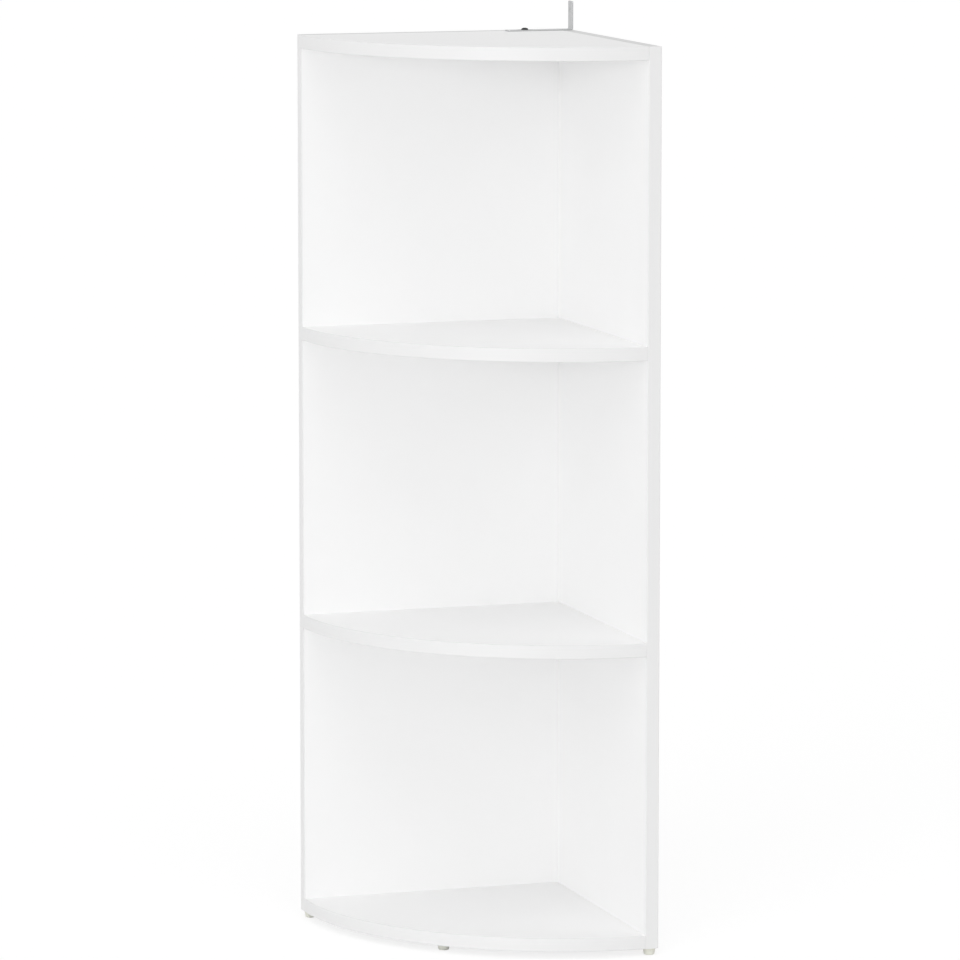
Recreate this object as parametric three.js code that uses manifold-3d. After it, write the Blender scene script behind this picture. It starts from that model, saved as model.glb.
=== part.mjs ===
// Corner shelf unit: two side panels at a right angle carry four quarter-round boards.
// Millimetres, +Z up. The origin is on the floor, under the middle of the square footprint.
// The panels meet at the rear corner, at +X and +Y, and the rounded open side faces -X and -Y.

import * as THREE from 'three';
import { mergeVertices } from 'three/addons/utils/BufferGeometryUtils.js';
import Module from 'manifold-3d';

const wasm = await Module();
wasm.setup();

// Carcass
const BOARD = 16; // thickness of every panel and board, coated chipboard
const REACH = 324; // from the inner rear corner to the front edge, edge band included
const CLEAR_HEIGHT = 333; // between two boards, room for a standing lever-arch file
const COMPARTMENTS = 3;
const EDGE = 1; // thickness of the plastic edge bands
const GLUE = 0.15; // glue line between a band and the chipboard

// Cam fittings, two on each side of each board
const FIT = 0.2; // clearance round a fitting in its bore
const FITTING_FROM_REAR = 80; // rear fitting, from the inner rear corner
const FITTING_FROM_FRONT = 60; // front fitting, from the front edge
const CAM_BORE = 15; // bore in the underside of the board
const CAM_SETBACK = 34; // from the panel's face to the axis of the cam
const CAM_SINK = 0.3; // the cam lies this much inside the underside
const CAM_ROOF = 0.9; // metal above the cavity of the cam
const CAM_CAVITY = 10; // diameter of the cavity that holds the bolt's head
const CAM_SWEEP = 120; // degrees that the bolt's slot runs round the cam
const CAM_LOCK = 25; // degrees of the slot past the locked bolt
const CROSS_SPAN = 7; // cross recess for the driver
const CROSS_WIDTH = 1.4;
const CROSS_DEPTH = 2.6;
const BOLT_HEAD = 6.5;
const BOLT_HEAD_LENGTH = 2.4;
const BOLT_NECK = 3.8;
const BOLT_SHANK = 7;
const BOLT_PLAY = 0.5; // clearance round the shank in the edge of the board
const BOLT_THREAD = 5;
const BOLT_THREAD_LENGTH = 11;

// Dowels
const DOWEL = 8;
const DOWEL_IN_EDGE = 20; // length in the edge of the board
const DOWEL_IN_FACE = 10; // length in the face of the panel
const DOWEL_CHAMFER = 1;

// Feet
const FOOT_HEIGHT = 8.5; // from the floor to the underside of the carcass
const FOOT_MARGIN = 0.25; // the flange stays this far inside the panel's faces
const FOOT_TAPER = 1.4; // the flange narrows by this on each side down to the floor
const FOOT_ROUND = 1.2; // radius of the lower rim
const FOOT_PEG = 8;
const FOOT_PEG_LENGTH = 12;
const FOOT_PEG_CHAMFER = 0.8;
const FOOT_INSET = 10; // axis behind the front edge of a side panel
const FOOT_MIDDLE_INSET = 20; // axis behind the arc of the bottom board

// Wall bracket, a bent steel strip on the top board
const STRIP = 1.5;
const STRIP_WIDTH = 15;
const STRIP_BEND = 1.5; // inner radius of the bend
const STRIP_CORNER = 2; // radius of the corners at both ends
const STRIP_LENGTH = 82; // leg on the top board
const STRIP_HEIGHT = 35; // leg against the wall
const STRIP_SETBACK = 3.5; // stands back from the side until it is slid to the wall
const STRIP_FROM_REAR = 1; // from the rear edge of the top board
const SLOT_LENGTH = 20; // lets the bracket slide to the wall
const SLOT_PLAY = 0.3;
const SLOT_FROM_END = 23; // middle of the slot, from the end of the leg on the board
const WALL_HOLE = 5;
const WALL_HOLE_HEIGHT = 24;
const SCREW = 4;
const SCREW_IN_BOARD = 12;
const SCREW_TIP = 3;
const SCREW_HEAD = 8.4;
const SCREW_RIM = 0.5; // straight part of the head's rim
const SCREW_DOME = 2; // height of the dome above the rim
const SCREW_CROSS_SPAN = 4;
const SCREW_CROSS_WIDTH = 0.9;
const SCREW_CROSS_DEPTH = 1.4;

// Cuts run past the faces by this much, and corners closer than WELD are one corner
const OVERRUN = 1;
const WELD = 0.0001;

// Facets: an arc of an outline gets twice its steps, and a turned body its sides
const ARC_STEPS = 18;
const SLOT_STEPS = 3;
const CORNER_STEPS = 2;
const BEND_STEPS = 3;
const ROUND_STEPS = 3;
const CAM_SIDES = 14;
const BOLT_SIDES = 10;
const DOWEL_SIDES = 12;
const FOOT_SIDES = 18;
const SCREW_SIDES = 16;

// Sizes that follow
const FOOTPRINT = REACH + BOARD;
const CORNER = FOOTPRINT / 2 - BOARD; // x and y of the inner rear corner
const CORE_REACH = REACH - EDGE - GLUE; // front of the chipboard
const PITCH = CLEAR_HEIGHT + BOARD;
const CARCASS_HEIGHT = COMPARTMENTS * PITCH + BOARD;
const LEVELS = ['bottom_board', 'lower_shelf', 'upper_shelf', 'top_board'];
const SIDES = ['left', 'right'];
const STATIONS = { rear: FITTING_FROM_REAR, front: REACH - FITTING_FROM_FRONT };
const DOWEL_STATION = (STATIONS.rear + STATIONS.front) / 2;
const SLOT_MIDDLE = STRIP_LENGTH - SLOT_FROM_END; // from the leg against the wall

const MATERIALS = {
  melamine: new THREE.MeshStandardMaterial({ color: 0xf3f3f1, roughness: 0.45, metalness: 0 }),
  band: new THREE.MeshStandardMaterial({ color: 0xf1f1ef, roughness: 0.4, metalness: 0 }),
  foot: new THREE.MeshStandardMaterial({ color: 0xdcddd4, roughness: 0.5, metalness: 0 }),
  zinc: new THREE.MeshStandardMaterial({ color: 0xb9bbbd, roughness: 0.45, metalness: 1 }),
  steel: new THREE.MeshStandardMaterial({ color: 0xc4c4c2, roughness: 0.35, metalness: 1 }),
  blackSteel: new THREE.MeshStandardMaterial({ color: 0x1b1b1c, roughness: 0.4, metalness: 0.6 }),
  beech: new THREE.MeshStandardMaterial({ color: 0xd6b183, roughness: 0.7, metalness: 0 }),
};

/** Solid of a closed geometry, with shared corners merged and empty triangles left out. */
function solid(geometry) {
  const shape = geometry.clone();
  shape.deleteAttribute('normal');
  shape.deleteAttribute('uv');
  const merged = mergeVertices(shape, WELD);
  const corners = [];
  for (let i = 0; i < merged.index.count; i += 3) {
    const triangle = [merged.index.getX(i), merged.index.getX(i + 1), merged.index.getX(i + 2)];
    if (new Set(triangle).size === triangle.length) corners.push(...triangle);
  }
  return new wasm.Manifold(new wasm.Mesh({
    numProp: 3,
    vertProperties: merged.attributes.position.array,
    triVerts: Uint32Array.from(corners),
  }));
}

/** Surface of a solid, as a geometry. */
function surface(body) {
  const mesh = body.getMesh();
  const geometry = new THREE.BufferGeometry();
  geometry.setAttribute('position', new THREE.BufferAttribute(mesh.vertProperties, 3));
  geometry.setIndex(new THREE.BufferAttribute(mesh.triVerts, 1));
  geometry.computeVertexNormals();
  return geometry;
}

/** Geometry with the cutters' space taken away. */
function cut(geometry, cutters) {
  let body = solid(geometry);
  for (const cutter of cutters) body = body.subtract(solid(cutter));
  return surface(body);
}

/** Body turned about +Z from a profile of [radius, height] pairs. */
function turned(profile, sides) {
  const points = profile.map(([radius, height]) => new THREE.Vector2(radius, height));
  return new THREE.LatheGeometry(points, sides).rotateX(Math.PI / 2);
}

/** Round bar along +Z. */
function rod(diameter, from, to, sides) {
  const bar = new THREE.CylinderGeometry(diameter / 2, diameter / 2, to - from, sides);
  return bar.rotateX(Math.PI / 2).translate(0, 0, (from + to) / 2);
}

/** Plate of an outline, from one height to another. */
function plate(outline, from, to, steps) {
  const options = { depth: to - from, bevelEnabled: false, curveSegments: steps };
  return new THREE.ExtrudeGeometry(outline, options).translate(0, 0, from);
}

/** Block between two corners. */
function block(from, to) {
  const box = new THREE.Box3().setFromPoints([from, to]);
  const size = box.getSize(new THREE.Vector3());
  const middle = box.getCenter(new THREE.Vector3());
  return new THREE.BoxGeometry(size.x, size.y, size.z).translate(middle.x, middle.y, middle.z);
}

/** Cross of two bars, for a driver, reaching up from zero. */
function cross(span, width, depth) {
  const bar = (across) => new THREE.BoxGeometry(across ? span : width, across ? width : span, depth);
  return [bar(true), bar(false)].map((box) => box.translate(0, 0, depth / 2));
}

/** Piece of the unit, placed in a group by a frame. */
function piece(name, geometry, material, group, frame) {
  const mesh = new THREE.Mesh(geometry, material);
  mesh.name = name;
  if (frame) mesh.applyMatrix4(frame);
  group.add(mesh);
}

/** Point by its distance in front of the inner corner and outwards through a side panel. */
function onSide(side, along, out, height) {
  return side === 'left'
    ? new THREE.Vector3(-along, out, height)
    : new THREE.Vector3(out, -along, height);
}

/** Frame on a panel's inner face, +Z into the panel and +Y up. */
function jointFrame(side, along, height) {
  const into = onSide(side, 0, 1, 0);
  const up = new THREE.Vector3(0, 0, 1);
  const sideways = new THREE.Vector3().crossVectors(up, into);
  const frame = new THREE.Matrix4().makeBasis(sideways, up, into);
  return frame.setPosition(onSide(side, along, 0, height));
}

/** Frame of a cam, +Z up from the board's underside and -Y towards the bolt. */
function camFrame(side, along, level) {
  const frame = jointFrame(side, along, level);
  frame.multiply(new THREE.Matrix4().makeTranslation(0, 0, -CAM_SETBACK));
  return frame.multiply(new THREE.Matrix4().makeRotationX(-Math.PI / 2));
}

/** Quarter disc in front of the inner corner. */
function quarterDisc(radius) {
  const outline = new THREE.Shape();
  outline.moveTo(0, 0);
  outline.lineTo(-radius, 0);
  outline.absarc(0, 0, radius, Math.PI, 1.5 * Math.PI, false);
  return outline;
}

/** Ring sector between two radii and two angles. */
function ringSector(inner, outer, from, to) {
  const outline = new THREE.Shape();
  outline.absarc(0, 0, outer, from, to, false);
  outline.absarc(0, 0, inner, to, from, true);
  return outline;
}

/** Rectangle from a corner, with two of its corners rounded at the far end of X. */
function roundedStrip(length, width, radius) {
  const outline = new THREE.Shape();
  outline.moveTo(0, 0);
  outline.lineTo(0, -width);
  outline.lineTo(-length + radius, -width);
  outline.absarc(-length + radius, -width + radius, radius, 1.5 * Math.PI, Math.PI, true);
  outline.lineTo(-length, -radius);
  outline.absarc(-length + radius, -radius, radius, Math.PI, Math.PI / 2, true);
  return outline;
}

/** Steel bolt between cam and panel: head, neck, shank and thread, turned about +Z. */
function camBolt() {
  const wallFromAxis = Math.sqrt((CAM_CAVITY / 2 - FIT) ** 2 - (BOLT_HEAD / 2) ** 2);
  const shoulder = -(CAM_SETBACK - wallFromAxis);
  const shankEnd = -(CAM_SETBACK - CAM_BORE / 2 - FIT);
  return turned([
    [0, shoulder - BOLT_HEAD_LENGTH],
    [BOLT_HEAD / 2, shoulder - BOLT_HEAD_LENGTH],
    [BOLT_HEAD / 2, shoulder],
    [BOLT_NECK / 2, shoulder],
    [BOLT_NECK / 2, shankEnd],
    [BOLT_SHANK / 2, shankEnd],
    [BOLT_SHANK / 2, -FIT],
    [BOLT_THREAD / 2, -FIT],
    [BOLT_THREAD / 2, BOLT_THREAD_LENGTH],
    [0, BOLT_THREAD_LENGTH],
  ], BOLT_SIDES);
}

/** Zinc cam: a drum with a cavity for the bolt's head, its slot and entry, and a cross recess. */
function cam() {
  const axis = BOARD / 2;
  const drumTop = axis + BOLT_HEAD / 2 + FIT + CAM_ROOF;
  const headRoom = BOLT_HEAD / 2 + FIT;
  const neckRoom = BOLT_NECK / 2 + FIT;
  const locked = -Math.PI / 2;
  const slotEnd = locked + THREE.MathUtils.degToRad(CAM_LOCK);
  const entry = slotEnd - THREE.MathUtils.degToRad(CAM_SWEEP);
  const slot = ringSector(CAM_CAVITY / 4, CAM_BORE / 2 + OVERRUN, entry, slotEnd);
  const entryBore = rod(2 * headRoom, 0, CAM_BORE / 2 + OVERRUN, BOLT_SIDES)
    .rotateY(Math.PI / 2)
    .rotateZ(entry)
    .translate(0, 0, axis);
  return cut(rod(CAM_BORE - 2 * FIT, CAM_SINK, drumTop, CAM_SIDES), [
    rod(CAM_CAVITY, axis - headRoom, axis + headRoom, CAM_SIDES),
    plate(slot, axis - neckRoom, axis + neckRoom, SLOT_STEPS),
    entryBore,
    ...cross(CROSS_SPAN, CROSS_WIDTH, CROSS_DEPTH + CAM_SINK),
  ]);
}

/** Bores in a board for one cam and its bolt. */
function camBores(side, along, level) {
  const camDepth = BOARD / 2 + BOLT_HEAD / 2 + CAM_ROOF + 2 * FIT;
  return [
    rod(CAM_BORE, -OVERRUN, camDepth, CAM_SIDES).applyMatrix4(camFrame(side, along, level)),
    rod(BOLT_SHANK + 2 * BOLT_PLAY, -CAM_SETBACK, OVERRUN, BOLT_SIDES)
      .applyMatrix4(jointFrame(side, along, level + BOARD / 2)),
  ];
}

/** Beech dowel with chamfered ends, turned about +Z, with zero at the joint. */
function dowel() {
  return turned([
    [0, -DOWEL_IN_EDGE],
    [DOWEL / 2 - DOWEL_CHAMFER, -DOWEL_IN_EDGE],
    [DOWEL / 2, -DOWEL_IN_EDGE + DOWEL_CHAMFER],
    [DOWEL / 2, DOWEL_IN_FACE - DOWEL_CHAMFER],
    [DOWEL / 2 - DOWEL_CHAMFER, DOWEL_IN_FACE],
    [0, DOWEL_IN_FACE],
  ], DOWEL_SIDES);
}

/** Hole for a dowel in both pieces. */
function dowelHole() {
  return rod(DOWEL + 2 * FIT, -DOWEL_IN_EDGE - FIT, DOWEL_IN_FACE + FIT, DOWEL_SIDES);
}

/** Foot: a tapered flange with a rounded lower rim and a peg, from the floor up. */
function foot() {
  const top = BOARD / 2 - FOOT_MARGIN;
  const bottom = top - FOOT_TAPER;
  const rim = [];
  for (let i = 0; i <= ROUND_STEPS; i += 1) {
    const turn = (i / ROUND_STEPS) * (Math.PI / 2);
    rim.push([
      bottom - FOOT_ROUND + FOOT_ROUND * Math.sin(turn),
      FOOT_ROUND - FOOT_ROUND * Math.cos(turn),
    ]);
  }
  const pegTop = FOOT_HEIGHT + FOOT_PEG_LENGTH;
  return turned([
    [0, 0],
    ...rim,
    [top, FOOT_HEIGHT],
    [FOOT_PEG / 2, FOOT_HEIGHT],
    [FOOT_PEG / 2, pegTop - FOOT_PEG_CHAMFER],
    [FOOT_PEG / 2 - FOOT_PEG_CHAMFER, pegTop],
    [0, pegTop],
  ], FOOT_SIDES);
}

/** Hole for a foot's peg, up from the underside of the carcass. */
function footHole(place) {
  const hole = rod(FOOT_PEG + 2 * FIT, -OVERRUN, FOOT_PEG_LENGTH + FIT, FOOT_SIDES);
  return hole.translate(place.x, place.y, 0);
}

/** Bent strip with rounded ends, a slot for its screw and a hole for the wall screw. */
function wallBracket() {
  const bend = STRIP + STRIP_BEND;
  const profile = new THREE.Shape();
  profile.moveTo(0, STRIP_HEIGHT);
  profile.lineTo(0, bend);
  profile.absarc(-bend, bend, bend, 0, -Math.PI / 2, true);
  profile.lineTo(-STRIP_LENGTH, 0);
  profile.lineTo(-STRIP_LENGTH, STRIP);
  profile.lineTo(-bend, STRIP);
  profile.absarc(-bend, bend, STRIP_BEND, -Math.PI / 2, 0, false);
  profile.lineTo(-STRIP, STRIP_HEIGHT);
  const strip = solid(plate(profile, 0, STRIP_WIDTH, BEND_STEPS).rotateX(Math.PI / 2));
  const lying = roundedStrip(STRIP_LENGTH, STRIP_WIDTH, STRIP_CORNER);
  const standing = roundedStrip(STRIP_HEIGHT, STRIP_WIDTH, STRIP_CORNER);
  const fromAbove = plate(lying, -OVERRUN, STRIP_HEIGHT + OVERRUN, CORNER_STEPS);
  const fromSide = plate(standing, -OVERRUN, STRIP_LENGTH + OVERRUN, CORNER_STEPS)
    .rotateY(Math.PI / 2)
    .translate(-STRIP_LENGTH, 0, 0);
  const slotWidth = SCREW + 2 * SLOT_PLAY;
  const slotReach = (SLOT_LENGTH - slotWidth) / 2;
  const slot = new THREE.Shape();
  slot.absarc(-slotReach, 0, slotWidth / 2, Math.PI / 2, 1.5 * Math.PI, false);
  slot.absarc(slotReach, 0, slotWidth / 2, -Math.PI / 2, Math.PI / 2, false);
  const slotCut = plate(slot, -OVERRUN, STRIP + OVERRUN, SLOT_STEPS);
  const wallHole = rod(WALL_HOLE, -STRIP - OVERRUN, OVERRUN, DOWEL_SIDES).rotateY(Math.PI / 2);
  return surface(strip
    .intersect(solid(fromAbove))
    .intersect(solid(fromSide))
    .subtract(solid(slotCut.translate(-SLOT_MIDDLE, -STRIP_WIDTH / 2, 0)))
    .subtract(solid(wallHole.translate(0, -STRIP_WIDTH / 2, WALL_HOLE_HEIGHT))));
}

/** Pan-head screw of the bracket, with zero under its head. */
function bracketScrew() {
  const length = SCREW_IN_BOARD + STRIP;
  const dome = [];
  for (let i = 0; i <= ROUND_STEPS; i += 1) {
    const turn = (i / ROUND_STEPS) * (Math.PI / 2);
    dome.push([(SCREW_HEAD / 2) * Math.cos(turn), SCREW_RIM + SCREW_DOME * Math.sin(turn)]);
  }
  dome[ROUND_STEPS][0] = 0;
  const body = turned([
    [0, -length],
    [SCREW / 2, -length + SCREW_TIP],
    [SCREW / 2, 0],
    [SCREW_HEAD / 2, 0],
    ...dome,
  ], SCREW_SIDES);
  const headTop = SCREW_RIM + SCREW_DOME;
  const recess = cross(SCREW_CROSS_SPAN, SCREW_CROSS_WIDTH, SCREW_CROSS_DEPTH + OVERRUN);
  return cut(body, recess.map((bar) => bar.translate(0, 0, headTop - SCREW_CROSS_DEPTH)));
}

// The carcass frame has its origin at the inner rear corner, at the height of its underside
const unit = new THREE.Group();
const carcass = new THREE.Group();
carcass.position.set(CORNER, CORNER, FOOT_HEIGHT);
unit.add(carcass);

const footPlaces = {
  left: onSide('left', REACH - FOOT_INSET, BOARD / 2, 0),
  right: onSide('right', REACH - FOOT_INSET, BOARD / 2, 0),
  rear: new THREE.Vector3(BOARD / 2, BOARD / 2, 0),
  middle: new THREE.Vector3(-1, -1, 0).setLength(REACH - FOOT_MIDDLE_INSET),
};
const cornerFrames = Array.from({ length: COMPARTMENTS }, (_, i) => {
  const frame = jointFrame('right', 0, i * PITCH + BOARD + CLEAR_HEIGHT / 2);
  return new THREE.Matrix4().makeTranslation(0, BOARD / 2, 0).multiply(frame);
});
const cornerHoles = cornerFrames.map((frame) => dowelHole().applyMatrix4(frame));
const slotMiddle = onSide('right', 0, BOARD - STRIP_SETBACK - SLOT_MIDDLE, CARCASS_HEIGHT);
slotMiddle.y = -STRIP_FROM_REAR - STRIP_WIDTH / 2;

/** Cuts in one side panel for the bolts and dowels of the boards. */
function panelBores(side) {
  const bores = [];
  LEVELS.forEach((name, i) => {
    const axis = i * PITCH + BOARD / 2;
    for (const along of Object.values(STATIONS)) {
      const bore = rod(BOLT_THREAD + 2 * FIT, -OVERRUN, BOLT_THREAD_LENGTH + FIT, BOLT_SIDES);
      bores.push(bore.applyMatrix4(jointFrame(side, along, axis)));
    }
    if (i % COMPARTMENTS === 0) {
      bores.push(dowelHole().applyMatrix4(jointFrame(side, DOWEL_STATION, axis)));
    }
  });
  return bores;
}

/** Side panel with its front and top bands. The right one runs on to the rear face. */
function addSidePanel(side) {
  const overlap = side === 'right' ? BOARD : 0;
  const rearBand = side === 'right' ? EDGE + GLUE : 0;
  const coreRear = -overlap + rearBand;
  const coreTop = CARCASS_HEIGHT - EDGE - GLUE;
  const core = block(onSide(side, CORE_REACH, 0, 0), onSide(side, coreRear, BOARD, coreTop));
  const feet = side === 'right' ? [footPlaces.right, footPlaces.rear] : [footPlaces.left];
  const cutters = [...panelBores(side), ...cornerHoles, ...feet.map(footHole)];
  piece(`${side}_side_panel`, cut(core, cutters), MATERIALS.melamine, carcass);
  const bands = {
    front: [onSide(side, REACH - EDGE, 0, 0), onSide(side, REACH, BOARD, CARCASS_HEIGHT)],
    top: [
      onSide(side, CORE_REACH, 0, CARCASS_HEIGHT - EDGE),
      onSide(side, coreRear, BOARD, CARCASS_HEIGHT),
    ],
  };
  if (overlap) {
    bands.rear = [
      onSide(side, -overlap + EDGE, 0, 0),
      onSide(side, -overlap, BOARD, CARCASS_HEIGHT),
    ];
  }
  for (const [edge, corners] of Object.entries(bands)) {
    piece(`${side}_panel_${edge}_band`, block(...corners), MATERIALS.band, carcass);
  }
}

/** Quarter-round board with its band, cams, bolts and dowels. */
function addBoard(name, i) {
  const level = i * PITCH;
  const dowelled = i % COMPARTMENTS === 0;
  const cutters = [];
  for (const side of SIDES) {
    for (const [station, along] of Object.entries(STATIONS)) {
      const label = `${name}_${side}_${station}`;
      cutters.push(...camBores(side, along, level));
      piece(`${label}_cam`, cam(), MATERIALS.zinc, carcass, camFrame(side, along, level));
      const boltFrame = jointFrame(side, along, level + BOARD / 2);
      piece(`${label}_bolt`, camBolt(), MATERIALS.steel, carcass, boltFrame);
    }
    if (dowelled) {
      const frame = jointFrame(side, DOWEL_STATION, level + BOARD / 2);
      cutters.push(dowelHole().applyMatrix4(frame));
      piece(`${name}_${side}_dowel`, dowel(), MATERIALS.beech, carcass, frame);
    }
  }
  if (name === LEVELS[0]) cutters.push(footHole(footPlaces.middle));
  if (name === LEVELS[COMPARTMENTS]) {
    const pilot = rod(SCREW + 2 * FIT, -SCREW_IN_BOARD - FIT, OVERRUN, SCREW_SIDES);
    cutters.push(pilot.translate(...slotMiddle));
  }
  const disc = plate(quarterDisc(CORE_REACH), level, level + BOARD, ARC_STEPS);
  piece(name, cut(disc, cutters), MATERIALS.melamine, carcass);
  const arc = ringSector(REACH - EDGE, REACH, Math.PI, 1.5 * Math.PI);
  const band = plate(arc, level, level + BOARD, ARC_STEPS);
  piece(`${name}_band`, band, MATERIALS.band, carcass);
}

SIDES.forEach(addSidePanel);
LEVELS.forEach(addBoard);
cornerFrames.forEach((frame, i) => {
  piece(`corner_dowel_${i + 1}`, dowel(), MATERIALS.beech, carcass, frame);
});
for (const [where, place] of Object.entries(footPlaces)) {
  const frame = new THREE.Matrix4().makeTranslation(place.x, place.y, -FOOT_HEIGHT);
  piece(`foot_${where}`, foot(), MATERIALS.foot, carcass, frame);
}
const bracketFrame = new THREE.Matrix4().makeTranslation(
  BOARD - STRIP_SETBACK,
  -STRIP_FROM_REAR,
  CARCASS_HEIGHT,
);
piece('wall_bracket', wallBracket(), MATERIALS.steel, carcass, bracketFrame);
const screwFrame = new THREE.Matrix4().setPosition(slotMiddle);
screwFrame.premultiply(new THREE.Matrix4().makeTranslation(0, 0, STRIP));
piece('wall_bracket_screw', bracketScrew(), MATERIALS.blackSteel, carcass, screwFrame);

export default unit;
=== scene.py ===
"""Corner shelf unit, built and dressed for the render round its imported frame.

Two coated chipboard panels meet at a right angle and carry four quarter-round boards. Lengths are
metres, +Z is up, and the panels stand at +X and +Y. Every piece keeps the place that the frame
gives its node. A shape is worked out as whole arrays: a grid of loops, one row to a loop.
"""
import logging
from dataclasses import dataclass
from enum import Enum

import bpy
import numpy as np
from numpy.typing import ArrayLike
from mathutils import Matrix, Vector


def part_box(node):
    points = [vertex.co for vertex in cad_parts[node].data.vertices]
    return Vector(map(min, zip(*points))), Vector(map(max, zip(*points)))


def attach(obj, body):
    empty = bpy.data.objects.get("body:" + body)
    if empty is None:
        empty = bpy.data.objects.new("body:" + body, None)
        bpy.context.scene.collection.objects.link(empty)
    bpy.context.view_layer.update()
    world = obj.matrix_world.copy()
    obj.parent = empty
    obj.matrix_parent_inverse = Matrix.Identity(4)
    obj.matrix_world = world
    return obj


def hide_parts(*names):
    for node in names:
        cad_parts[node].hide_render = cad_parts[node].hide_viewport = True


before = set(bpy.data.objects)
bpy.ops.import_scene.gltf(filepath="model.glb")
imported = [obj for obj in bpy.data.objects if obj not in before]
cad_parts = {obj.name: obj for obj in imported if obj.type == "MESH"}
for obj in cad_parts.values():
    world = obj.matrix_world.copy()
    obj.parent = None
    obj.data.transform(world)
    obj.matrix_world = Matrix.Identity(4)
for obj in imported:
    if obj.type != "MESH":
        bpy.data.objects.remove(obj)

Array = np.ndarray
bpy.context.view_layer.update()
MM = 0.001
BODY = "root"
UP = np.array([0.0, 0.0, 1.0])
UNTURNED = np.eye(3)
UPSIDE_DOWN = np.diag([1.0, -1.0, -1.0])
OVERRUN = 1 * MM  # cutters run past the faces by this much
LEVELS = ("bottom_board", "lower_shelf", "upper_shelf", "top_board")
DOWELLED = (LEVELS[0], LEVELS[-1])
log = logging.getLogger("corner_shelf")


class Side(Enum):
    """The two side panels, as they show from the open front."""

    LEFT = "left"
    RIGHT = "right"

    @property
    def out(self) -> Array:
        """Direction outwards through the panel."""
        return np.array([0.0, 1.0, 0.0] if self is Side.LEFT else [1.0, 0.0, 0.0])

    @property
    def forward(self) -> Array:
        """Direction from the rear corner to the panel's front edge."""
        return np.array([-1.0, 0.0, 0.0] if self is Side.LEFT else [0.0, -1.0, 0.0])


class Edge(Enum):
    """Edges of a side panel that carry a band."""

    FRONT = "front"
    TOP = "top"
    REAR = "rear"


class Station(Enum):
    """Places along a board's straight edge."""

    REAR = "rear"
    FRONT = "front"
    DOWEL = "dowel"


# Arrays and meshes


@dataclass
class Shell:
    """A closed surface as arrays."""

    points: Array  # corners, one row each
    faces: list[list[int]]  # corner numbers of each face, anticlockwise from outside
    lengths: Array | None = None  # distance along and round the surface at each corner

    def placed(self, origin: ArrayLike, axes: Array = UNTURNED) -> "Shell":
        """The shell in another frame: each point times the axes, as rows, plus the origin."""
        return Shell(self.points @ axes + origin, self.faces, self.lengths)


def skin(loops: Array) -> Shell:
    """Joins loops into a closed tube, with a face over each end.

    Corner j of loop i meets corner j + 1 of its own loop and the same two of loop i + 1. The
    lengths are the running sums of the mean step between loops and of the mean step round them.

    Args:
        loops: points by loop, corner and axis, anticlockwise when seen from the last loop's end.

    Returns:
        The closed shell.
    """
    rows, columns = loops.shape[:2]
    number = np.arange(rows * columns).reshape(rows, columns)
    beside = np.roll(number, -1, axis=1)
    quads = np.stack([number[:-1], beside[:-1], beside[1:], number[1:]], axis=-1)
    ends = [number[0, ::-1].tolist(), number[-1].tolist()]
    steps = [np.linalg.norm(np.diff(loops, axis=i), axis=2).mean(axis=1 - i) for i in (0, 1)]
    sums = [np.append(0.0, np.cumsum(step)) for step in steps]
    lengths = np.stack(np.meshgrid(*sums, indexing="ij"), axis=-1).reshape(-1, 2)
    return Shell(loops.reshape(-1, 3), quads.reshape(-1, 4).tolist() + ends, lengths)


def stacked(outlines: Array, heights: ArrayLike) -> Shell:
    """Closed shell through flat outlines, each at its height."""
    tall = np.broadcast_to(np.reshape(heights, (-1, 1, 1)), (*outlines.shape[:2], 1))
    return skin(np.concatenate([outlines, tall], axis=2))


def arc(radius: float, start: float, stop: float, steps: int) -> Array:
    """Arc about zero in chords: the radius times the cosine and sine of even steps in degrees."""
    angle = np.radians(np.linspace(start, stop, steps + 1))
    return radius * np.stack([np.cos(angle), np.sin(angle)], axis=1)


def rounded_box(width: float, height: float, radii: tuple[float, ...], steps: int = 5) -> Array:
    """Rectangle from zero whose corners are quarter arcs, each about a point a radius in.

    Args:
        width: along the first axis.
        height: along the second axis.
        radii: of the lower left, lower right, upper right and upper left corner; zero is sharp.
        steps: chords of each arc.

    Returns:
        The outline, anticlockwise.
    """
    parts = []
    for i, corner in enumerate(np.array([(0, 0), (1, 0), (1, 1), (0, 1)])):
        middle = corner * [width, height] + (1 - 2 * corner) * radii[i]
        parts.append(middle + arc(radii[i], 180 + 90 * i, 270 + 90 * i, steps if radii[i] else 0))
    return np.concatenate(parts)


def plate(outline: Array, low: float, high: float, soften: float, steps: int = 3) -> Shell:
    """Plate of an outline, square to +Z, whose long edges are slightly rounded.

    At angle t of a quarter turn a loop is set in by the radius times one minus sin t, and lies the
    radius times one minus cos t from the face. A corner moves in along its mitre: the sum of its
    two edges' normals over one plus the normals' product.

    Args:
        outline: points in the plane, anticlockwise.
        low: height of the lower face.
        high: height of the upper face.
        soften: radius of the long edges.
        steps: chords of each rounding.

    Returns:
        The closed plate.
    """
    ahead = np.roll(outline, -1, axis=0) - outline
    ahead /= np.linalg.norm(ahead, axis=1, keepdims=True)
    normal = np.stack([ahead[:, 1], -ahead[:, 0]], axis=1)
    before = np.roll(normal, 1, axis=0)
    mitre = (normal + before) / (1 + (normal * before).sum(axis=1, keepdims=True))
    turn = np.linspace(0, np.pi / 2, steps + 1)
    inset, rise = soften * (1 - np.sin(turn)), soften * (1 - np.cos(turn))
    insets = np.concatenate([inset, inset[::-1]])[:, None, None]
    return stacked(outline - insets * mitre, np.concatenate([low + rise, (high - rise)[::-1]]))


def turned(radii: ArrayLike, heights: ArrayLike, sides: int) -> Shell:
    """Body turned about +Z: each height's radius, or radii round it, times cosine and sine."""
    ring = arc(1.0, 0, 360, sides)[:-1]
    return stacked(np.reshape(radii, (len(heights), -1, 1)) * ring, heights)


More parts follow.
